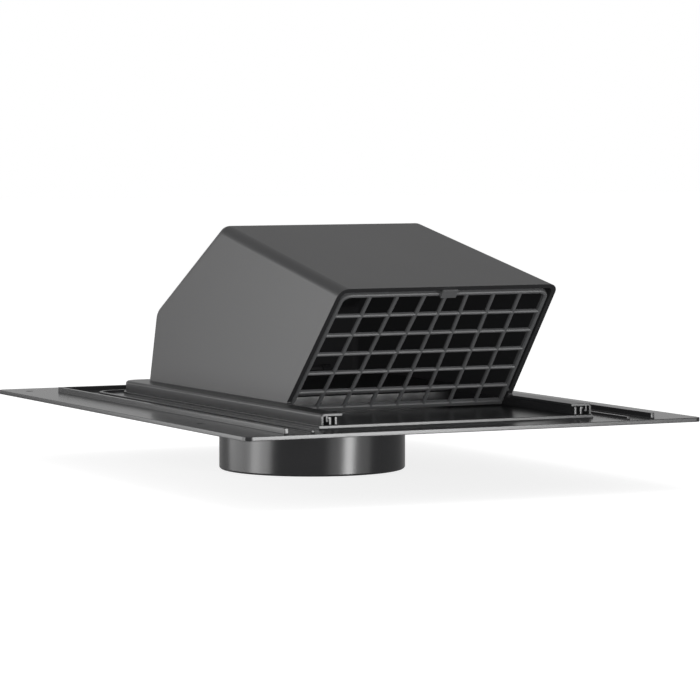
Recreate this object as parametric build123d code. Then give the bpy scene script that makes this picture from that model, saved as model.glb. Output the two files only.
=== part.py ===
from build123d import *
import math
import os

# Exhaust roof vent: a flashing base with a duct collar, a hood that clips over the base's rails, a grille
# that tilts out of the hood's mouth, and a backdraft damper on a curb round the duct.
# Millimetres. The origin is on the collar's axis at the flange's underside, which lies on the roof.
# +Z points away from the roof, +X to the right, and -Y down the slope, the way the mouth faces.

# Base moulding: collar, flange, deck and walls
COLLAR_OD = 100.0           # fits inside a 4 inch duct
COLLAR_LENGTH = 34.6        # below the flange's underside
COLLAR_LEAD_IN = 0.8        # chamfer on the collar's lower rim
SHEET = 2.2                 # wall of the base moulding
DECK_RISE = 1.7             # deck top above the flange top
DECK_MARGIN = 1.2           # deck beyond the hood's skirt
DECK_CORNER = 11.0
LOW_RIB_SIDE_OFFSET = 12.1  # low rib's outer face beyond the deck
LOW_RIB_BACK_OFFSET = 8.1
LOW_RIB_HEIGHT = 1.3
LOW_RIB_THICKNESS = 2.0
LOW_RIB_CORNER = 14.0
WATER_WALL_OFFSET = 14.1    # water wall's outer face beyond the low rib
WATER_WALL_HEIGHT = 2.7
WATER_WALL_THICKNESS = 2.2
WALL_END_SETBACK = 7.3      # front ends of rib and wall behind the flange's front edge
SIDE_APRON = 23.9           # flange beyond the water wall
BACK_APRON = 31.5
FRONT_APRON = 23.5          # flange in front of the deck's lip
FLANGE_CORNER = 4.0
NAIL_HOLE_D = 4.0
NAIL_SIDE_INSET = 12.0      # hole centres from the flange's side edges
NAIL_BACK_INSET = 19.0      # hole centres from the flange's back edge
NAIL_PITCH = 234.0          # back holes to front holes

# Curb round the duct opening
CURB_RISE = 5.5             # above the deck
CURB_SIDE_MARGIN = 4.0      # curb's outside beyond the collar's
CURB_FRONT_MARGIN = 14.0
CURB_BACK_MARGIN = 6.0
CURB_CORNER = 8.0

# Damper: flap, foam seal, hinge pin and its lugs
FLAP_THICKNESS = 2.0
FLAP_LIP = 1.5              # flap beyond the curb
FLAP_RIB_HEIGHT = 1.5
FLAP_RIB_WIDTH = 1.4
FLAP_RIB_INSET = 12.0       # rib frame under the flap, inside its edge
SEAL_THICKNESS = 1.5
SEAL_WIDTH = 4.0
SEAL_GAP = 0.3              # seal above the curb at rest
PIN_D = 3.0
PIN_FIT = 0.08              # radial clearance of pins in their holes
PIN_OVERHANG = 1.5          # pin beyond each lug
HINGE_SETBACK = 7.0         # hinge axis behind the curb
KNUCKLE_R = 3.2
KNUCKLE_WIDTH = 12.0
LUG_R = 4.0
LUG_WIDTH = 5.0
LUG_SPAN = 72.0             # between the lugs' inner faces
LUG_SIDE_GAP = 0.4          # knuckle to lug

# Hood: drafted folded shell on a skirt channel
HOOD_WALL = 2.4
HOOD_SIDE_GAP = 6.75        # hood wall's foot beyond the flap
HOOD_BACK_GAP = 5.3         # hood wall's foot behind the lugs
DRAFT_DEG = 3.26            # side walls lean in
MOUTH_REACH = 40.3          # mouth's foot in front of the curb
BROW_OVERHANG = 55.2        # brow in front of the mouth's foot
BROW_RISE = 60.1            # brow above the skirt
RIDGE_FORWARD = 13.2        # ridge in front of the collar's axis
RIDGE_RISE = 87.5           # ridge above the skirt
BEND_INSET = 5.6            # back bend in front of the wall's foot
BEND_RISE = 39.0            # back bend above the skirt
FOLD_R = 5.4                # folds along the side walls
BEND_R = 9.0                # folds across the hood, at the ridge and the back bend
SKIRT_HEIGHT = 5.7          # skirt's top above the deck
SKIRT_WALL = 1.3
SKIRT_REACH = 11.05         # skirt beyond the hood wall's foot
SKIRT_CORNER = 10.0
SKIRT_ROUND = 1.5           # skirt's upper outer edge
FOOT_ROUND = 0.8            # hollow between the hood's wall and the skirt
RAIL_REACH = 63.2           # skirt in front of the mouth's foot
CLIP_OFFSET = 1.2           # snap clip inside the skirt's leg
CLIP_WALL = 1.0
CLIP_RISE = 1.6             # clip's lower end above the deck
HOOK_REACH = 0.7            # hook on the clip, under the rail's head
HOOK_HEIGHT = 0.8
SNAP_GAP = 0.3              # play between skirt and rail
RAIL_RIB = 1.6
RAIL_SETBACK = 1.0          # rail ends behind the deck's lip
RAIL_INSET = 4.2            # inner rail rib outside the hood's opening
RAIL_COVER = 2.2            # skirt beyond the inner rail rib, in front of the mouth

# Grille in the mouth: sizes across and along the slanted mouth
GRILLE_RECESS = 0.3         # grille's front behind the mouth's rim
GRILLE_DEPTH = 2.4          # frame, front to back
GRILLE_PLAY = 0.7           # grille to hood
GRILLE_FOOT_GAP = 0.5       # grille to deck
GRILLE_CORNER = 5.5
FRAME_WIDTH = 2.0
FOOT_FRAME_WIDTH = 3.0
BAR_WIDTH = 1.7
BAR_DEPTH = 1.7
BAR_BEVEL = 0.5             # front edges of frame and bars
FIRST_ROW = 6.8             # lowest cross bar above the mouth's foot
ROW_PITCH = 13.6
COLUMN_PITCH = 15.15        # side columns, inwards from the side of the frame and parallel to it
TAB_WIDTH = 8.4
TAB_THICKNESS = 1.1
TAB_OVERLAP = 1.0           # tab over the rim of the mouth
STUB_D = 2.0
STUB_LENGTH = 1.0           # stub inside the hood's wall
STUB_END_GAP = 0.3
PIVOT_RISE = 3.0            # pivot above the mouth's foot, along the mouth

# Levels
collar_r = COLLAR_OD / 2
deck_top = SHEET + DECK_RISE
curb_top = deck_top + CURB_RISE
seal_bottom = curb_top + SEAL_GAP
flap_bottom = seal_bottom + SEAL_THICKNESS
flap_top = flap_bottom + FLAP_THICKNESS
hinge_z = (flap_bottom + flap_top) / 2
skirt_top = deck_top + SKIRT_HEIGHT
skirt_under = skirt_top - SKIRT_WALL

# Plan: half widths and distances along Y, worked outwards from the collar
curb_half = collar_r + CURB_SIDE_MARGIN
curb_front = -collar_r - CURB_FRONT_MARGIN
curb_back = collar_r + CURB_BACK_MARGIN
flap_half = curb_half + FLAP_LIP
flap_front = curb_front - FLAP_LIP
flap_back = curb_back + FLAP_LIP
hinge_y = curb_back + HINGE_SETBACK
hood_inner_half = flap_half + HOOD_SIDE_GAP
hood_half = hood_inner_half + HOOD_WALL
hood_inner_back = hinge_y + LUG_R + HOOD_BACK_GAP
hood_back = hood_inner_back + HOOD_WALL
mouth_foot = curb_front - MOUTH_REACH
skirt_half = hood_half + SKIRT_REACH
skirt_back = hood_back + SKIRT_REACH
skirt_front = mouth_foot - RAIL_REACH
deck_half = skirt_half + DECK_MARGIN
deck_back = skirt_back + DECK_MARGIN
deck_front = skirt_front
low_rib_half = deck_half + LOW_RIB_SIDE_OFFSET
low_rib_back = deck_back + LOW_RIB_BACK_OFFSET
water_wall_half = low_rib_half + WATER_WALL_OFFSET
water_wall_back = low_rib_back + WATER_WALL_OFFSET
flange_half = water_wall_half + SIDE_APRON
flange_back = water_wall_back + BACK_APRON
flange_front = deck_front - FRONT_APRON
wall_end = flange_front + WALL_END_SETBACK

# Snap fit: the skirt's clip from its leg inwards, and the two ribs of the rail
clip_outer = skirt_half - SKIRT_WALL - CLIP_OFFSET
clip_inner = clip_outer - CLIP_WALL
clip_low = deck_top + CLIP_RISE
rail_stem = clip_inner - HOOK_REACH - SNAP_GAP
rail_inner = hood_inner_half + RAIL_INSET

# Hood's side outline, as (y, z), from the mouth's foot over the roof to the heel
foot = (mouth_foot, skirt_top)
brow = (mouth_foot - BROW_OVERHANG, skirt_top + BROW_RISE)
ridge = (-RIDGE_FORWARD, skirt_top + RIDGE_RISE)
bend = (hood_back - BEND_INSET, skirt_top + BEND_RISE)
heel = (hood_back, skirt_top)
draft = math.tan(math.radians(DRAFT_DEG))
mouth_length = math.hypot(BROW_OVERHANG, BROW_RISE)
mouth_up = (-BROW_OVERHANG / mouth_length, BROW_RISE / mouth_length)
mouth_inward = (mouth_up[1], -mouth_up[0])
mouth_plane = Plane(
    origin=(0, *foot),
    x_dir=(1, 0, 0),
    z_dir=(0, -mouth_inward[0], -mouth_inward[1]),
)

# Grille's reach along the mouth: its back edge stops short of the roof, its front edge short of the deck
roof_lean = math.atan2(ridge[1] - brow[1], ridge[0] - brow[0])
roof_to_mouth = math.atan2(BROW_RISE, BROW_OVERHANG) + roof_lean
grille_back = GRILLE_RECESS + GRILLE_DEPTH
roof_inside = mouth_length - HOOD_WALL / math.sin(roof_to_mouth)
grille_top = roof_inside - grille_back / math.tan(roof_to_mouth) - GRILLE_PLAY
grille_bottom = (deck_top + GRILLE_FOOT_GAP - skirt_top - GRILLE_RECESS * mouth_inward[1]) / mouth_up[1]


def slab(half, front, back, low, high, back_corner=0.0):
    """A block between two levels, with its two back corners rounded in plan."""
    outline = Pos(0, (front + back) / 2, low) * Rectangle(2 * half, back - front)
    if back_corner > 0:
        outline = fillet(outline.vertices().group_by(Axis.Y)[-1], back_corner)
    return extrude(outline, high - low, dir=(0, 0, 1))


def u_wall(half, front, back, thickness, low, high, back_corner=0.0):
    """A wall along both sides and the back, open to the front."""
    inner_corner = max(back_corner - thickness, 0.0)
    outside = slab(half, front, back, low, high, back_corner)
    inside = slab(half - thickness, front - thickness, back - thickness, low, high, inner_corner)
    return outside - inside


def ring_wall(half, front, back, thickness, low, high, corner):
    """A closed wall round a rounded rectangle."""
    centre = Pos(0, (front + back) / 2, low)
    outside = centre * RectangleRounded(2 * half, back - front, corner)
    inside = centre * RectangleRounded(
        2 * (half - thickness), back - front - 2 * thickness, corner - thickness
    )
    return extrude(outside - inside, high - low, dir=(0, 0, 1))


def rod(radius, x_from, x_to, y, z):
    """A round bar along X."""
    return Pos((x_from + x_to) / 2, y, z) * Rot(0, 90, 0) * Cylinder(radius, abs(x_to - x_from))


def prism_along_y(points, y_from, y_to):
    """A section given as (x, z) points, pushed along Y."""
    section = make_face(Polyline([(x, y_from, z) for x, z in points], close=True))
    return extrude(section, y_to - y_from, dir=(0, 1, 0))


def both_sides(solid):
    """The solid and its mirror image across the YZ plane."""
    return solid + mirror(solid, about=Plane.YZ)


def moved_line(start, end, distance):
    """A line of the side outline, moved inwards by a distance."""
    along = (end[0] - start[0], end[1] - start[1])
    length = math.hypot(*along)
    shift = (along[1] / length * distance, -along[0] / length * distance)
    return (start[0] + shift[0], start[1] + shift[1]), (end[0] + shift[0], end[1] + shift[1])


def meeting_point(line_a, line_b):
    """Where two lines of the side outline cross."""
    (ay, az), (by, bz) = line_a
    (cy, cz), (dy, dz) = line_b
    denominator = (by - ay) * (dz - cz) - (bz - az) * (dy - cy)
    share = ((cy - ay) * (dz - cz) - (cz - az) * (dy - cy)) / denominator
    return ay + share * (by - ay), az + share * (bz - az)


def hood_inner_half_at(z):
    """Inside half width of the drafted hood at a level."""
    return hood_inner_half - draft * (z - skirt_top)


def mouth_point(rise, depth):
    """(y, z) of a point that far up the mouth and that deep behind its rim."""
    y = foot[0] + rise * mouth_up[0] + depth * mouth_inward[0]
    z = foot[1] + rise * mouth_up[1] + depth * mouth_inward[1]
    return y, z


def hood_block(outline, foot_half, bend_radius, fold_radius):
    """The side outline, rounded at its third and fourth points and pushed across, then trimmed by the
    drafted section and rounded along both sides."""
    low = min(z for _, z in outline)
    high = max(z for _, z in outline)
    front = min(y for y, _ in outline)
    back = max(y for y, _ in outline)
    side = make_face(Polyline([(0, y, z) for y, z in outline], close=True))
    bends = [side.vertices().sort_by_distance((0, y, z))[0] for y, z in outline[2:4]]
    side = fillet(bends, bend_radius)
    low_half = foot_half + draft * (skirt_top - low)
    high_half = foot_half - draft * (high - skirt_top)
    section = [(-low_half, low), (low_half, low), (high_half, high), (-high_half, high)]
    block = extrude(side, 2 * low_half, dir=(1, 0, 0), both=True) & prism_along_y(section, front, back)
    walls = block.faces().sort_by(Axis.X)
    front_face = block.faces().sort_by(Axis.Y)[0]
    foot_face = block.faces().sort_by(Axis.Z)[0]
    open_edges = front_face.edges() + foot_face.edges()
    folds = [edge for edge in walls[0].edges() + walls[-1].edges() if edge not in open_edges]
    return fillet(folds, fold_radius)


def make_base():
    """Flange, deck, walls, rails, curb, hinge lugs and collar: one moulding with an even wall."""
    flange_centre = Pos(0, (flange_front + flange_back) / 2)
    flange = extrude(
        flange_centre * RectangleRounded(2 * flange_half, flange_back - flange_front, FLANGE_CORNER), SHEET
    )
    deck = slab(deck_half, deck_front, deck_back, 0, deck_top, DECK_CORNER)
    hollow = slab(
        deck_half - SHEET, deck_front + SHEET, deck_back - SHEET, 0, DECK_RISE, DECK_CORNER - SHEET
    )
    collar = Pos(0, 0, -COLLAR_LENGTH) * Cylinder(
        collar_r, COLLAR_LENGTH + deck_top, align=(Align.CENTER, Align.CENTER, Align.MIN)
    )
    collar = chamfer(collar.edges().sort_by(Axis.Z)[0], COLLAR_LEAD_IN)
    base = flange + deck - hollow + collar
    base -= Cylinder(collar_r - SHEET, 4 * (COLLAR_LENGTH + deck_top))

    base += u_wall(
        low_rib_half, wall_end, low_rib_back, LOW_RIB_THICKNESS,
        SHEET, SHEET + LOW_RIB_HEIGHT, LOW_RIB_CORNER,
    )
    base += u_wall(
        water_wall_half, wall_end, water_wall_back, WATER_WALL_THICKNESS, SHEET, SHEET + WATER_WALL_HEIGHT
    )
    base += ring_wall(curb_half, curb_front, curb_back, SHEET, deck_top, curb_top, CURB_CORNER)

    # Each rail is two ribs under the skirt: a plain inner one, and an outer one with a head over the hook
    rail_front = deck_front + RAIL_SETBACK
    rail_back = skirt_back - SKIRT_CORNER
    rail_top = skirt_under - SNAP_GAP
    inner_rib = [(rail_inner, deck_top), (rail_inner + RAIL_RIB, deck_top),
                 (rail_inner + RAIL_RIB, rail_top), (rail_inner, rail_top)]
    head_x = clip_inner - SNAP_GAP
    head_low = clip_low + HOOK_HEIGHT + SNAP_GAP
    outer_rib = [(rail_stem - RAIL_RIB, deck_top), (rail_stem, deck_top), (rail_stem, head_low),
                 (head_x, head_low), (head_x, rail_top), (rail_stem - RAIL_RIB, rail_top)]
    for section in (inner_rib, outer_rib):
        base += both_sides(prism_along_y(section, rail_front, rail_back))

    lug_x = LUG_SPAN / 2
    lug = rod(LUG_R, lug_x, lug_x + LUG_WIDTH, hinge_y, hinge_z)
    lug += Pos(lug_x + LUG_WIDTH / 2, hinge_y, (deck_top + hinge_z) / 2) * Box(
        LUG_WIDTH, 2 * LUG_R, hinge_z - deck_top
    )
    base += both_sides(lug)
    base -= rod(PIN_D / 2 + PIN_FIT, -lug_x - 2 * LUG_WIDTH, lug_x + 2 * LUG_WIDTH, hinge_y, hinge_z)

    nail_x = flange_half - NAIL_SIDE_INSET
    nail_y = flange_back - NAIL_BACK_INSET
    for x in (-nail_x, nail_x):
        for y in (nail_y, nail_y - NAIL_PITCH):
            base -= Pos(x, y, SHEET / 2) * Cylinder(NAIL_HOLE_D / 2, 2 * SHEET)
    return base


def make_hood():
    """Folded shell, open at the mouth and foot, on a skirt channel that runs on past the mouth."""
    outside = hood_block([foot, brow, ridge, bend, heel], hood_half, BEND_R, FOLD_R)
    roof = moved_line(brow, ridge, HOOD_WALL)
    slope = moved_line(ridge, bend, HOOD_WALL)
    back = moved_line(bend, heel, HOOD_WALL)
    far = min(brow[0], skirt_front) - SKIRT_HEIGHT
    front_line = ((far, deck_top), (far, skirt_top))
    floor_line = ((mouth_foot, deck_top), (hood_back, deck_top))
    cavity_outline = [
        meeting_point(front_line, floor_line),
        meeting_point(front_line, roof),
        meeting_point(roof, slope),
        meeting_point(slope, back),
        meeting_point(back, floor_line),
    ]
    cavity = hood_block(cavity_outline, hood_inner_half, BEND_R - HOOD_WALL, FOLD_R - HOOD_WALL)

    skirt = slab(skirt_half, skirt_front, skirt_back, deck_top, skirt_top, SKIRT_CORNER)
    leg_inside = skirt_half - SKIRT_WALL
    skirt -= slab(
        leg_inside, skirt_front - SKIRT_WALL, skirt_back - SKIRT_WALL,
        deck_top, skirt_under, SKIRT_CORNER - SKIRT_WALL,
    )
    clip = [(clip_outer, clip_low), (clip_outer, skirt_under), (clip_inner, skirt_under),
            (clip_inner, clip_low + HOOK_HEIGHT), (clip_inner - HOOK_REACH, clip_low + HOOK_HEIGHT),
            (clip_inner - HOOK_REACH, clip_low)]
    skirt += both_sides(prism_along_y(clip, skirt_front, skirt_back - SKIRT_CORNER))
    round_edges = [edge for edge in skirt.faces().sort_by(Axis.Z)[-1].edges()
                   if edge.center().Y > skirt_front + SKIRT_WALL]
    skirt = fillet(round_edges, SKIRT_ROUND)
    hood = outside + skirt
    foot_edges = [edge for edge in hood.edges()
                  if edge.is_interior and abs(edge.center().Z - skirt_top) < SNAP_GAP]
    hood = fillet(foot_edges, FOOT_ROUND) - cavity
    hood -= slab(rail_inner - RAIL_COVER, skirt_front - SKIRT_WALL, mouth_foot, deck_top, skirt_top)

    # Dimples in the side walls take the grille's pivot stubs
    pivot_y, pivot_z = mouth_point(PIVOT_RISE, GRILLE_RECESS + GRILLE_DEPTH / 2)
    wall_x = hood_inner_half_at(pivot_z)
    dimple_end = wall_x + STUB_LENGTH + STUB_END_GAP
    hood -= both_sides(rod(STUB_D / 2 + PIN_FIT, wall_x - STUB_D, dimple_end, pivot_y, pivot_z))
    return hood


def grille_half_at(rise):
    """Half width of the grille, that far up the mouth: clear of the drafted walls at its back."""
    return hood_inner_half_at(mouth_point(rise, grille_back)[1]) - GRILLE_PLAY


def make_grille():
    """Frame, lattice, latch tab and pivot stubs, drawn on the mouth's plane: x across, y up the mouth."""
    bottom_half = grille_half_at(grille_bottom)
    top_half = grille_half_at(grille_top)

    def panel(inset, foot_inset, corner):
        outline = make_face(Polyline([
            (-bottom_half + inset, grille_bottom + foot_inset),
            (bottom_half - inset, grille_bottom + foot_inset),
            (top_half - inset, grille_top - inset),
            (-top_half + inset, grille_top - inset),
        ], close=True))
        return fillet(outline.vertices().group_by(Axis.Y)[-1], corner)

    def upright(low_x, high_x):
        half = BAR_WIDTH / 2
        return make_face(Polyline([
            (low_x - half, grille_bottom), (low_x + half, grille_bottom),
            (high_x + half, grille_top), (high_x - half, grille_top),
        ], close=True))

    whole = panel(0, 0, GRILLE_CORNER)
    frame = whole - panel(FRAME_WIDTH, FOOT_FRAME_WIDTH, GRILLE_CORNER - FRAME_WIDTH)
    bars = [upright(0, 0)]
    inset = FRAME_WIDTH / 2 + COLUMN_PITCH
    while inset < top_half - COLUMN_PITCH / 2:
        bars.append(upright(bottom_half - inset, top_half - inset))
        bars.append(upright(inset - bottom_half, inset - top_half))
        inset += COLUMN_PITCH
    rise = FIRST_ROW
    while rise < grille_top - ROW_PITCH / 2:
        bars.append(Pos(0, rise) * Rectangle(2 * bottom_half, BAR_WIDTH))
        rise += ROW_PITCH

    front = Pos(0, 0, -GRILLE_RECESS)
    lattice = extrude(front * ((frame + bars) & whole), -BAR_DEPTH)
    lattice = chamfer(lattice.faces().sort_by(Axis.Z)[-1].edges(), BAR_BEVEL)
    grille = lattice + extrude(Pos(0, 0, -GRILLE_RECESS - BAR_DEPTH) * frame, BAR_DEPTH - GRILLE_DEPTH)

    # The latch tab lies over the mouth's rim and a foot joins it to the top of the frame
    tab_top = roof_inside + TAB_OVERLAP
    tab_bottom = grille_top - FRAME_WIDTH + BAR_BEVEL
    grille += Pos(0, (tab_top + tab_bottom) / 2, SNAP_GAP + TAB_THICKNESS / 2) * Box(
        TAB_WIDTH, tab_top - tab_bottom, TAB_THICKNESS
    )
    tab_foot = SNAP_GAP + GRILLE_RECESS + BAR_BEVEL
    grille += Pos(0, grille_top - FRAME_WIDTH / 2, SNAP_GAP - tab_foot / 2) * Box(
        TAB_WIDTH, FRAME_WIDTH - 2 * BAR_BEVEL, tab_foot
    )

    pivot_depth = GRILLE_RECESS + GRILLE_DEPTH / 2
    stub_end = hood_inner_half_at(mouth_point(PIVOT_RISE, pivot_depth)[1]) + STUB_LENGTH
    stub_start = grille_half_at(PIVOT_RISE) - FRAME_WIDTH / 2
    grille += both_sides(rod(STUB_D / 2, stub_start, stub_end, PIVOT_RISE, -pivot_depth))
    return mouth_plane * grille


def make_flap():
    """Plate over the curb, with a rib frame underneath and two knuckles on the hinge axis."""
    centre_y = (flap_front + flap_back) / 2
    length = flap_back - flap_front
    plate = extrude(
        Pos(0, centre_y, flap_bottom) * RectangleRounded(2 * flap_half, length, CURB_CORNER + FLAP_LIP),
        FLAP_THICKNESS,
    )
    flap = plate + ring_wall(
        flap_half - FLAP_RIB_INSET, flap_front + FLAP_RIB_INSET, flap_back - FLAP_RIB_INSET,
        FLAP_RIB_WIDTH, flap_bottom - FLAP_RIB_HEIGHT, flap_bottom, CURB_CORNER,
    )
    outer_x = LUG_SPAN / 2 - LUG_SIDE_GAP
    knuckle = rod(KNUCKLE_R, outer_x - KNUCKLE_WIDTH, outer_x, hinge_y, hinge_z)
    arm_length = hinge_y - flap_back + KNUCKLE_R
    knuckle += Pos(outer_x - KNUCKLE_WIDTH / 2, hinge_y - arm_length / 2, hinge_z) * Box(
        KNUCKLE_WIDTH, arm_length, FLAP_THICKNESS
    )
    flap += both_sides(knuckle)
    return flap - rod(PIN_D / 2 + PIN_FIT, -LUG_SPAN, LUG_SPAN, hinge_y, hinge_z)


def make_seal():
    """Foam strip frame, glued under the flap over the curb's rim."""
    return ring_wall(curb_half, curb_front, curb_back, SEAL_WIDTH, seal_bottom, flap_bottom, CURB_CORNER)


def make_hinge_pin():
    """Plain rod through both lugs and the flap's knuckles."""
    half = LUG_SPAN / 2 + LUG_WIDTH + PIN_OVERHANG
    return rod(PIN_D / 2, -half, half, hinge_y, hinge_z)


pieces = {
    "base_flashing": make_base(),
    "hood": make_hood(),
    "front_grille": make_grille(),
    "damper_flap": make_flap(),
    "damper_seal": make_seal(),
    "damper_hinge_pin": make_hinge_pin(),
}
os.makedirs("parts", exist_ok=True)
for name, solid in pieces.items():
    export_step(solid, f"parts/{name}.step")
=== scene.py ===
import math

import bmesh
import bpy
import numpy as np
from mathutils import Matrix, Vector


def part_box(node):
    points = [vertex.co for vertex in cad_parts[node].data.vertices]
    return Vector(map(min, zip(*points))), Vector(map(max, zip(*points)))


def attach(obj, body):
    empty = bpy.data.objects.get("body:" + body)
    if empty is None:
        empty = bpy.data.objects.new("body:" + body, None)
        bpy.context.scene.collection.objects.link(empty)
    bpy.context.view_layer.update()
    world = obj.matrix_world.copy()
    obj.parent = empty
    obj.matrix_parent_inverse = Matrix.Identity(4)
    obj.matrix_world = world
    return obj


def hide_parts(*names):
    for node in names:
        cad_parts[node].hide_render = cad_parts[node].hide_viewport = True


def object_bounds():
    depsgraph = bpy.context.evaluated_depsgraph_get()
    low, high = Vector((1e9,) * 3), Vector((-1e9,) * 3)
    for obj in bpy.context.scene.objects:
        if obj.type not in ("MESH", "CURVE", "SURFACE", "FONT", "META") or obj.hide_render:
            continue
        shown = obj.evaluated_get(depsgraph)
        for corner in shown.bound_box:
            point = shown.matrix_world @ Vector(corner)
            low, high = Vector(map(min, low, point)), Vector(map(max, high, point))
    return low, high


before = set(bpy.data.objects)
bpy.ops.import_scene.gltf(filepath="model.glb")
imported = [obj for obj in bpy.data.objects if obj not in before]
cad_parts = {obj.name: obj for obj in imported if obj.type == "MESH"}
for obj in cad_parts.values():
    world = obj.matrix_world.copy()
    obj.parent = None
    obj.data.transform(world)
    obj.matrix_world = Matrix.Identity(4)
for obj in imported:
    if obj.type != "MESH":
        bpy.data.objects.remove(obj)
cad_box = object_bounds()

MM = 0.001

# Base flashing
# One black polypropylene moulding: the flange that lies on the roof, with water walls, deck,
# rails, curb and duct collar. It comes out of the tool with a satin skin and small edge rounds.
BASE_SHADE = (0.016, 0.016, 0.017)
BASE_TINT = (0.021, 0.021, 0.022)
BASE_GLOSS = (0.19, 0.26)
BASE_ROUND = 0.28 * MM
BASE_GRAIN = 2400.0  # cycles to the metre
EDGE_ANGLE = math.radians(32)
ROUND_STEPS = 2
WELD_GAP = 0.002 * MM
FLAT_WEIGHT = 100
PLASTIC_IOR = 1.5
GRAIN_DEPTH = 0.012 * MM
GRAIN_STRENGTH = 0.5


def finished_copy(node, name, edge_round, body):
    """The node's own surface, welded into one skin, with its sharp edges rounded."""
    skin = bmesh.new()
    skin.from_mesh(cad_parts[node].data)
    bmesh.ops.remove_doubles(skin, verts=skin.verts, dist=WELD_GAP)
    for face in skin.faces:
        face.smooth = True
    mesh = bpy.data.meshes.new(name)
    skin.to_mesh(mesh)
    skin.free()
    piece = bpy.data.objects.new(name, mesh)
    bpy.context.scene.collection.objects.link(piece)
    rounding = piece.modifiers.new("edge rounds", "BEVEL")
    rounding.width = edge_round
    rounding.segments = ROUND_STEPS
    rounding.limit_method = "ANGLE"
    rounding.angle_limit = EDGE_ANGLE
    rounding.use_clamp_overlap = False
    rounding.loop_slide = False
    flats = piece.modifiers.new("flat faces stay flat", "WEIGHTED_NORMAL")
    flats.weight = FLAT_WEIGHT
    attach(piece, body)
    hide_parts(node)
    return piece


def shader_group(name, inputs, outputs):
    """An empty node group with named float, colour or vector sockets."""
    group = bpy.data.node_groups.new(name, "ShaderNodeTree")
    for label, kind in inputs:
        group.interface.new_socket(label, in_out="INPUT", socket_type=kind)
    for label, kind in outputs:
        group.interface.new_socket(label, in_out="OUTPUT", socket_type=kind)
    return group, group.nodes.new("NodeGroupInput"), group.nodes.new("NodeGroupOutput")


def noise(tree, vector, scale, detail, roughness=0.5):
    """Noise value from 0 to 1 at that scale, in cycles to the metre."""
    texture = tree.nodes.new("ShaderNodeTexNoise")
    texture.inputs["Scale"].default_value = scale
    texture.inputs["Detail"].default_value = detail
    texture.inputs["Roughness"].default_value = roughness
    tree.links.new(vector, texture.inputs["Vector"])
    return texture.outputs["Fac"]


def blend_values(tree, factor, low, high):
    """Low where the factor is 0 and high where it is 1."""
    mapped = tree.nodes.new("ShaderNodeMapRange")
    tree.links.new(factor, mapped.inputs["Value"])
    for socket, value in (("To Min", low), ("To Max", high)):
        if isinstance(value, (int, float)):
            mapped.inputs[socket].default_value = value
        else:
            tree.links.new(value, mapped.inputs[socket])
    return mapped.outputs["Result"]


def combined(tree, first, second, operation):
    """Two values put together by that operation."""
    node = tree.nodes.new("ShaderNodeMath")
    node.operation = operation
    for socket, value in zip(node.inputs, (first, second)):
        if isinstance(value, (int, float)):
            socket.default_value = value
        else:
            tree.links.new(value, socket)
    return node.outputs["Value"]


# The moulded skin: slow flow marks in shade and gloss, and the tool's fine spark-eroded grain
skin_group, skin_in, skin_out = shader_group(
    "moulded_skin",
    [
        ("Place", "NodeSocketVector"),
        ("Shade", "NodeSocketColor"),
        ("Tint", "NodeSocketColor"),
        ("Smooth", "NodeSocketFloat"),
        ("Rough", "NodeSocketFloat"),
        ("Grain", "NodeSocketFloat"),
    ],
    [
        ("Colour", "NodeSocketColor"),
        ("Roughness", "NodeSocketFloat"),
        ("Height", "NodeSocketFloat"),
    ],
)
FLOW_SCALE = 14.0
FLOW_STRETCH = (1.0, 0.35, 1.0)
FLOW_DETAIL = 4.0
FLOW_ROUGHNESS = 0.55
FLOW_SHARE = 0.6
GRAIN_DETAIL = 1.5
stretch = skin_group.nodes.new("ShaderNodeVectorMath")
stretch.operation = "MULTIPLY"
stretch.inputs[1].default_value = FLOW_STRETCH
skin_group.links.new(skin_in.outputs["Place"], stretch.inputs[0])
flow = noise(skin_group, stretch.outputs["Vector"], FLOW_SCALE, FLOW_DETAIL, FLOW_ROUGHNESS)
grain_texture = skin_group.nodes.new("ShaderNodeTexNoise")
grain_texture.inputs["Detail"].default_value = GRAIN_DETAIL
skin_group.links.new(skin_in.outputs["Place"], grain_texture.inputs["Vector"])
skin_group.links.new(skin_in.outputs["Grain"], grain_texture.inputs["Scale"])
grain = grain_texture.outputs["Fac"]
shade_mix = skin_group.nodes.new("ShaderNodeMix")
shade_mix.data_type = "RGBA"
skin_group.links.new(flow, shade_mix.inputs["Factor"])
skin_group.links.new(skin_in.outputs["Shade"], shade_mix.inputs["A"])
skin_group.links.new(skin_in.outputs["Tint"], shade_mix.inputs["B"])
gloss = combined(
    skin_group,
    combined(skin_group, flow, FLOW_SHARE, "MULTIPLY"),
    combined(skin_group, grain, 1 - FLOW_SHARE, "MULTIPLY"),
    "ADD",
)
skin_group.links.new(shade_mix.outputs["Result"], skin_out.inputs["Colour"])
skin_group.links.new(
    blend_values(skin_group, gloss, skin_in.outputs["Smooth"], skin_in.outputs["Rough"]),
    skin_out.inputs["Roughness"],
)
skin_group.links.new(grain, skin_out.inputs["Height"])


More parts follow.
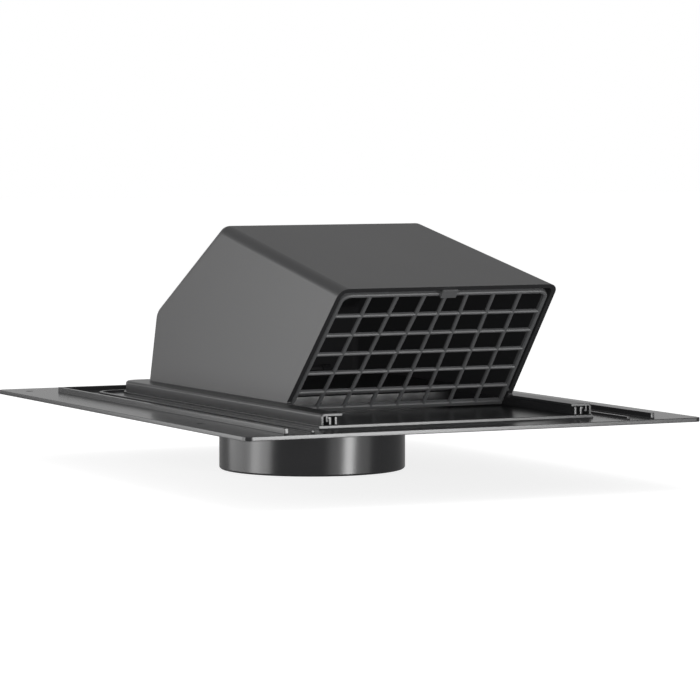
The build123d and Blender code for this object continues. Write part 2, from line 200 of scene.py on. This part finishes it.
def plastic(name, shade, tint, gloss_range, grain_scale=BASE_GRAIN):
    """Satin moulded plastic: the skin group feeds colour, roughness and a shallow bump."""
    material = bpy.data.materials.new(name)
    material.use_nodes = True
    tree = material.node_tree
    surface = tree.nodes["Principled BSDF"]
    place = tree.nodes.new("ShaderNodeTexCoord").outputs["Object"]
    skin = tree.nodes.new("ShaderNodeGroup")
    skin.node_tree = skin_group
    tree.links.new(place, skin.inputs["Place"])
    skin.inputs["Shade"].default_value = (*shade, 1)
    skin.inputs["Tint"].default_value = (*tint, 1)
    skin.inputs["Smooth"].default_value = gloss_range[0]
    skin.inputs["Rough"].default_value = gloss_range[1]
    skin.inputs["Grain"].default_value = grain_scale
    bump = tree.nodes.new("ShaderNodeBump")
    bump.inputs["Distance"].default_value = GRAIN_DEPTH
    bump.inputs["Strength"].default_value = GRAIN_STRENGTH
    tree.links.new(skin.outputs["Height"], bump.inputs["Height"])
    tree.links.new(skin.outputs["Colour"], surface.inputs["Base Color"])
    tree.links.new(skin.outputs["Roughness"], surface.inputs["Roughness"])
    tree.links.new(bump.outputs["Normal"], surface.inputs["Normal"])
    surface.inputs["IOR"].default_value = PLASTIC_IOR
    return material


base = finished_copy("base_flashing", "flashing", BASE_ROUND, "shell")
base.data.materials.append(plastic("flashing_plastic", BASE_SHADE, BASE_TINT, BASE_GLOSS))

# Damper hinge pin
# A straight drawn stainless rod, cut to length and chamfered at both ends. It is pushed through the
# two lugs of the base and the flap's knuckles, and its ends stand out of the lugs.
PIN_SIDES = 40
PIN_CHAMFER = 0.35 * MM
PIN_STEEL = (0.52, 0.52, 0.53)
PIN_GLOSS = (0.22, 0.42)
DRAW_STRETCH = (12.0, 900.0, 900.0)
DRAW_DETAIL = 3.0
DRAW_DEPTH = 0.01 * MM
DRAW_STRENGTH = 0.4
SEAM_GAP = 0.001 * MM


def grid_piece(name, points, closed_rows=False, closed_columns=False):
    """A mesh over a grid of points (rows, columns, 3), with either direction closed on itself."""
    rows, columns = points.shape[:2]
    index = np.arange(rows * columns).reshape(rows, columns)
    if closed_rows:
        index = np.concatenate([index, index[:1]], axis=0)
    if closed_columns:
        index = np.concatenate([index, index[:, :1]], axis=1)
    corners = np.stack(
        [index[:-1, :-1], index[:-1, 1:], index[1:, 1:], index[1:, :-1]], axis=-1
    )
    mesh = bpy.data.meshes.new(name)
    mesh.from_pydata(points.reshape(-1, 3).tolist(), [], corners.reshape(-1, 4).tolist())
    skin = bmesh.new()
    skin.from_mesh(mesh)
    bmesh.ops.remove_doubles(skin, verts=skin.verts, dist=SEAM_GAP)
    bmesh.ops.recalc_face_normals(skin, faces=skin.faces)
    skin.to_mesh(mesh)
    skin.free()
    mesh.shade_smooth()
    mesh.set_sharp_from_angle(angle=EDGE_ANGLE)
    piece = bpy.data.objects.new(name, mesh)
    bpy.context.scene.collection.objects.link(piece)
    return piece


low, high = (np.array(corner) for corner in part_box("damper_hinge_pin"))
pin_radius = (high[2] - low[2]) / 2
pin_y, pin_z = (low[1] + high[1]) / 2, (low[2] + high[2]) / 2
# Turned profile: (distance along X, radius), from the middle of one end face to that of the other
profile = np.array([
    (low[0], 0.0), (low[0], pin_radius - PIN_CHAMFER), (low[0] + PIN_CHAMFER, pin_radius),
    (high[0] - PIN_CHAMFER, pin_radius), (high[0], pin_radius - PIN_CHAMFER), (high[0], 0.0),
])
turn = np.linspace(0, 2 * np.pi, PIN_SIDES, endpoint=False)
pin_points = np.stack([
    np.broadcast_to(profile[:, :1], (len(profile), PIN_SIDES)),
    pin_y + profile[:, 1:] * np.cos(turn),
    pin_z + profile[:, 1:] * np.sin(turn),
], axis=-1)
pin = grid_piece("hinge_pin", pin_points, closed_columns=True)
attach(pin, "shell")
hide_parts("damper_hinge_pin")

steel = bpy.data.materials.new("drawn_steel")
steel.use_nodes = True
tree = steel.node_tree
surface = tree.nodes["Principled BSDF"]
surface.inputs["Base Color"].default_value = (*PIN_STEEL, 1)
surface.inputs["Metallic"].default_value = 1.0
place = tree.nodes.new("ShaderNodeTexCoord").outputs["Object"]
drawn = tree.nodes.new("ShaderNodeVectorMath")
drawn.operation = "MULTIPLY"
drawn.inputs[1].default_value = DRAW_STRETCH
tree.links.new(place, drawn.inputs[0])
lines = noise(tree, drawn.outputs["Vector"], 1.0, DRAW_DETAIL)
tree.links.new(blend_values(tree, lines, *PIN_GLOSS), surface.inputs["Roughness"])
bump = tree.nodes.new("ShaderNodeBump")
bump.inputs["Distance"].default_value = DRAW_DEPTH
bump.inputs["Strength"].default_value = DRAW_STRENGTH
tree.links.new(lines, bump.inputs["Height"])
tree.links.new(bump.outputs["Normal"], surface.inputs["Normal"])
pin.data.materials.append(steel)

# Damper flap
# A light moulded plate over the curb, stiffened by a frame of ribs, with two knuckles on the
# hinge pin. The fan's air lifts it, and it falls shut by its own weight.
FLAP_SHADE = (0.026, 0.026, 0.027)
FLAP_TINT = (0.034, 0.034, 0.035)
FLAP_GLOSS = (0.34, 0.44)
FLAP_ROUND = 0.2 * MM
flap = finished_copy("damper_flap", "flap", FLAP_ROUND, "damper")
flap.data.materials.append(plastic("flap_plastic", FLAP_SHADE, FLAP_TINT, FLAP_GLOSS))

# Damper seal
# A frame of closed-cell foam strip, glued under the flap's rim. Its free face is slightly
# crowned and meets the top of the curb when the flap is down.
SEAL_CORNER = 8.0 * MM
SEAL_WIDTH = 4.0 * MM
SEAL_CROWN = 0.35 * MM
CROWN_POWER = 0.5
SEAL_CORNER_STEPS = 14
SEAL_ACROSS = 12
FOAM_SHADE = (0.03, 0.03, 0.031)
FOAM_TINT = (0.06, 0.06, 0.062)
FOAM_GLOSS = (0.95, 0.75)
FOAM_CELLS = 2200.0  # cells to the metre
CELL_DEPTH = 0.12 * MM
CELL_STRENGTH = 0.6


def rounded_loop(low, high, corner, steps):
    """Points round a rectangle with quarter-circle corners, and the outward direction at each."""
    centres = np.array([
        (high[0] - corner, high[1] - corner), (low[0] + corner, high[1] - corner),
        (low[0] + corner, low[1] + corner), (high[0] - corner, low[1] + corner),
    ])
    angle = np.linspace(0, np.pi / 2, steps) + np.arange(4)[:, None] * np.pi / 2
    outward = np.stack([np.cos(angle), np.sin(angle)], axis=-1)
    return (centres[:, None] + corner * outward).reshape(-1, 2), outward.reshape(-1, 2)


low, high = (np.array(corner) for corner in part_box("damper_seal"))
loop, outward = rounded_loop(low, high, SEAL_CORNER, SEAL_CORNER_STEPS)
# Section across the strip: flat where it is glued, and where it is free crowned by a half sine
# raised to a power, which makes the edges round
across = np.linspace(0, 1, SEAL_ACROSS)
crowned = low[2] + SEAL_CROWN * (1 - np.sin(np.pi * across) ** CROWN_POWER)
inset = np.concatenate([across, across[::-1]]) * SEAL_WIDTH
level = np.concatenate([crowned, np.full(SEAL_ACROSS, high[2])])
seal_points = np.concatenate([
    loop[:, None] - inset[None, :, None] * outward[:, None],
    np.broadcast_to(level[None, :, None], (len(loop), len(level), 1)),
], axis=-1)
seal = grid_piece("foam_seal", seal_points, closed_rows=True, closed_columns=True)
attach(seal, "damper")
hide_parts("damper_seal")

foam = bpy.data.materials.new("closed_cell_foam")
foam.use_nodes = True
tree = foam.node_tree
surface = tree.nodes["Principled BSDF"]
place = tree.nodes.new("ShaderNodeTexCoord").outputs["Object"]
cells = tree.nodes.new("ShaderNodeTexVoronoi")
cells.inputs["Scale"].default_value = FOAM_CELLS
tree.links.new(place, cells.inputs["Vector"])
foam_mix = tree.nodes.new("ShaderNodeMix")
foam_mix.data_type = "RGBA"
foam_mix.inputs["A"].default_value = (*FOAM_SHADE, 1)
foam_mix.inputs["B"].default_value = (*FOAM_TINT, 1)
tree.links.new(cells.outputs["Distance"], foam_mix.inputs["Factor"])
tree.links.new(foam_mix.outputs["Result"], surface.inputs["Base Color"])
foam_gloss = blend_values(tree, cells.outputs["Distance"], *FOAM_GLOSS)
tree.links.new(foam_gloss, surface.inputs["Roughness"])
bump = tree.nodes.new("ShaderNodeBump")
bump.inputs["Distance"].default_value = CELL_DEPTH
bump.inputs["Strength"].default_value = CELL_STRENGTH
bump.invert = True
tree.links.new(cells.outputs["Distance"], bump.inputs["Height"])
tree.links.new(bump.outputs["Normal"], surface.inputs["Normal"])
seal.data.materials.append(foam)

# Hood
# A drafted moulding of roof, slope, side walls and back, on a skirt channel that snaps over the
# base's rails. It has a finer, more matt grain than the base, and its skirt is a little smoother.
HOOD_SHADE = (0.018, 0.018, 0.019)
HOOD_TINT = (0.023, 0.023, 0.024)
HOOD_GLOSS = (0.34, 0.42)
HOOD_ROUND = 0.12 * MM
HOOD_GRAIN = 2800.0
SKIRT_TOP = 9.7 * MM  # below it the roughness is cut to the share SKIRT_POLISH
SKIRT_BLEND = 1.0 * MM
SKIRT_POLISH = 0.82


def ramp(tree, value, start, end):
    """A smooth step from 0 at start to 1 at end."""
    step = tree.nodes.new("ShaderNodeMapRange")
    step.interpolation_type = "SMOOTHSTEP"
    step.inputs["From Min"].default_value = start
    step.inputs["From Max"].default_value = end
    tree.links.new(value, step.inputs["Value"])
    return step.outputs["Result"]


hood = finished_copy("hood", "hood_shell", HOOD_ROUND, "shell")
satin = plastic("hood_plastic", HOOD_SHADE, HOOD_TINT, HOOD_GLOSS, HOOD_GRAIN)
tree = satin.node_tree
surface = tree.nodes["Principled BSDF"]
height = tree.nodes.new("ShaderNodeSeparateXYZ")
tree.links.new(tree.nodes["Texture Coordinate"].outputs["Object"], height.inputs["Vector"])
above_skirt = ramp(tree, height.outputs["Z"], SKIRT_TOP, SKIRT_TOP + SKIRT_BLEND)
polish = blend_values(tree, above_skirt, SKIRT_POLISH, 1.0)
grained = surface.inputs["Roughness"].links[0].from_socket
tree.links.new(combined(tree, grained, polish, "MULTIPLY"), surface.inputs["Roughness"])
hood.data.materials.append(satin)

# Front grille
# A one-piece moulded lattice with a thin frame, a latch tab over the rim of the mouth and two pivot
# stubs at its foot. The bars' front edges are bevelled.
GRILLE_SHADE = (0.08, 0.081, 0.083)
GRILLE_TINT = (0.094, 0.095, 0.097)
GRILLE_GLOSS = (0.44, 0.52)
GRILLE_ROUND = 0.03 * MM
grille = finished_copy("front_grille", "grille", GRILLE_ROUND, "grille")
grille.data.materials.append(plastic("grille_plastic", GRILLE_SHADE, GRILLE_TINT, GRILLE_GLOSS))

# Floor and background
# A plain pale floor under the collar and a white backdrop behind the object. The camera sees both
# as white, the floor keeps a faint shadow, and glossy faces mirror a part of the backdrop.
FLOOR_REACH = 6.0
FLOOR_GLOW = 0.80
FLOOR_COLOUR = 0.50
ROOM_LOW = 0.2
ROOM_HIGH = 0.44
ROOM_RISE = (0.06, 0.32)
BACKDROP_SHARE = 0.48
BACKDROP_SPREAD = (0.25, 0.8)
BACKDROP_TOP = (0.36, 0.12)
BACKDROP_FOOT = (-0.18, 0.04)
floor_z = cad_box[0][2]
floor_corners = np.array([(-1, -1), (1, -1), (1, 1), (-1, 1)]) * FLOOR_REACH
floor_mesh = bpy.data.meshes.new("floor")
floor_mesh.from_pydata([(x, y, floor_z) for x, y in floor_corners], [], [(0, 1, 2, 3)])
floor = bpy.data.objects.new("floor", floor_mesh)
bpy.context.scene.collection.objects.link(floor)
floor.visible_glossy = False
floor.visible_shadow = False
pale = bpy.data.materials.new("pale_floor")
pale.use_nodes = True
tree = pale.node_tree
tree.nodes.remove(tree.nodes["Principled BSDF"])
matt = tree.nodes.new("ShaderNodeBsdfDiffuse")
matt.inputs["Color"].default_value = (FLOOR_COLOUR, FLOOR_COLOUR, FLOOR_COLOUR, 1)
glow = tree.nodes.new("ShaderNodeEmission")
path = tree.nodes.new("ShaderNodeLightPath")
seen_glow = combined(tree, path.outputs["Is Camera Ray"], FLOOR_GLOW, "MULTIPLY")
tree.links.new(seen_glow, glow.inputs["Strength"])
both = tree.nodes.new("ShaderNodeAddShader")
tree.links.new(matt.outputs["BSDF"], both.inputs[0])
tree.links.new(glow.outputs["Emission"], both.inputs[1])
tree.links.new(both.outputs["Shader"], tree.nodes["Material Output"].inputs["Surface"])
floor_mesh.materials.append(pale)

world = bpy.data.worlds.new("studio")
world.use_nodes = True
bpy.context.scene.world = world
tree = world.node_tree
towards = tree.nodes.new("ShaderNodeSeparateXYZ")
place = tree.nodes.new("ShaderNodeTexCoord").outputs["Generated"]
tree.links.new(place, towards.inputs["Vector"])
behind = ramp(tree, towards.outputs["Y"], *BACKDROP_SPREAD)
low_down = ramp(tree, towards.outputs["Z"], *BACKDROP_TOP)
above_floor = ramp(tree, towards.outputs["Z"], *BACKDROP_FOOT)
backdrop = combined(tree, behind, low_down, "MULTIPLY")
backdrop = combined(tree, backdrop, above_floor, "MULTIPLY")
backdrop = combined(tree, backdrop, BACKDROP_SHARE, "MULTIPLY")
path = tree.nodes.new("ShaderNodeLightPath")
mirrored = combined(tree, path.outputs["Is Glossy Ray"], path.outputs["Is Transmission Ray"], "ADD")
mirrored = combined(tree, mirrored, backdrop, "MULTIPLY")
white_share = combined(tree, path.outputs["Is Camera Ray"], mirrored, "ADD")
room = blend_values(tree, ramp(tree, towards.outputs["Z"], *ROOM_RISE), ROOM_LOW, ROOM_HIGH)
light = tree.nodes["Background"]
tree.links.new(blend_values(tree, white_share, room, 1.0), light.inputs["Strength"])
light.inputs["Color"].default_value = (1, 1, 1, 1)

# Lights
# Upright soft boxes: a narrow bright one and a wide weak one to the front right, one to the left,
# and a pale panel from there to the back, with a weak lamp overhead. A fill lamp without shadows
# lifts the inside of the mouth.
LIGHT_TARGET = np.array((0.0, -0.03, 0.03))


def soft_box(name, azimuth, elevation, distance, width, height, radiance, turn=0, fill=False):
    """A flat lamp in that direction, facing the object or turned from it by some degrees.

    Its power is its brightness times its area. A fill lamp casts no shadow and isn't mirrored.
    """
    around, up = math.radians(azimuth), math.radians(elevation)
    away = np.array((
        math.sin(around) * math.cos(up), -math.cos(around) * math.cos(up), math.sin(up)
    ))
    lamp = bpy.data.lights.new(name, "AREA")
    lamp.shape = "RECTANGLE"
    lamp.size = width
    lamp.size_y = height
    lamp.energy = radiance * math.pi * width * height
    box = bpy.data.objects.new(name, lamp)
    box.location = LIGHT_TARGET + away * distance
    box.rotation_euler = (math.pi / 2 - up, 0, around + math.radians(turn))
    box.visible_camera = False
    box.visible_glossy = not fill
    lamp.use_shadow = not fill
    bpy.context.scene.collection.objects.link(box)


# Degrees round and up, then metres away, wide and high, then brightness
soft_box("front_right", 21, -4, 1.6, 0.34, 0.55, 15)
soft_box("front_right_wide", 23, -4, 1.7, 1.8, 0.6, 1.4)
soft_box("left", -92, -5, 1.1, 0.55, 0.4, 5)
soft_box("left_panel", -130, 1, 0.62, 0.75, 0.32, 2.45, turn=40)
soft_box("overhead", 0, 85, 1.3, 1.0, 1.0, 1.0)
soft_box("fill", -30, 5, 2.0, 1.0, 1.0, 6.0, fill=True)

# Camera
# A long lens at the photograph's angle, a little above the hood's ridge and left of the mouth.
# Place, tilt and lens come from a fit of the part's corners to the photograph's edges.
CAMERA_PLACE = (-0.8257, -1.7166, 0.1527)
CAMERA_DOWN = 3.721
CAMERA_ROUND = -26.3
CAMERA_LENS = 182.8
CAMERA_SENSOR = 36.0
view = bpy.data.cameras.new("camera")
view.sensor_width = CAMERA_SENSOR
view.lens = CAMERA_LENS
camera = bpy.data.objects.new("camera", view)
camera.location = CAMERA_PLACE
camera.rotation_euler = (math.radians(90 - CAMERA_DOWN), 0, math.radians(CAMERA_ROUND))
bpy.context.scene.collection.objects.link(camera)
bpy.context.scene.camera = camera
bpy.context.scene.view_settings.view_transform = "Standard"
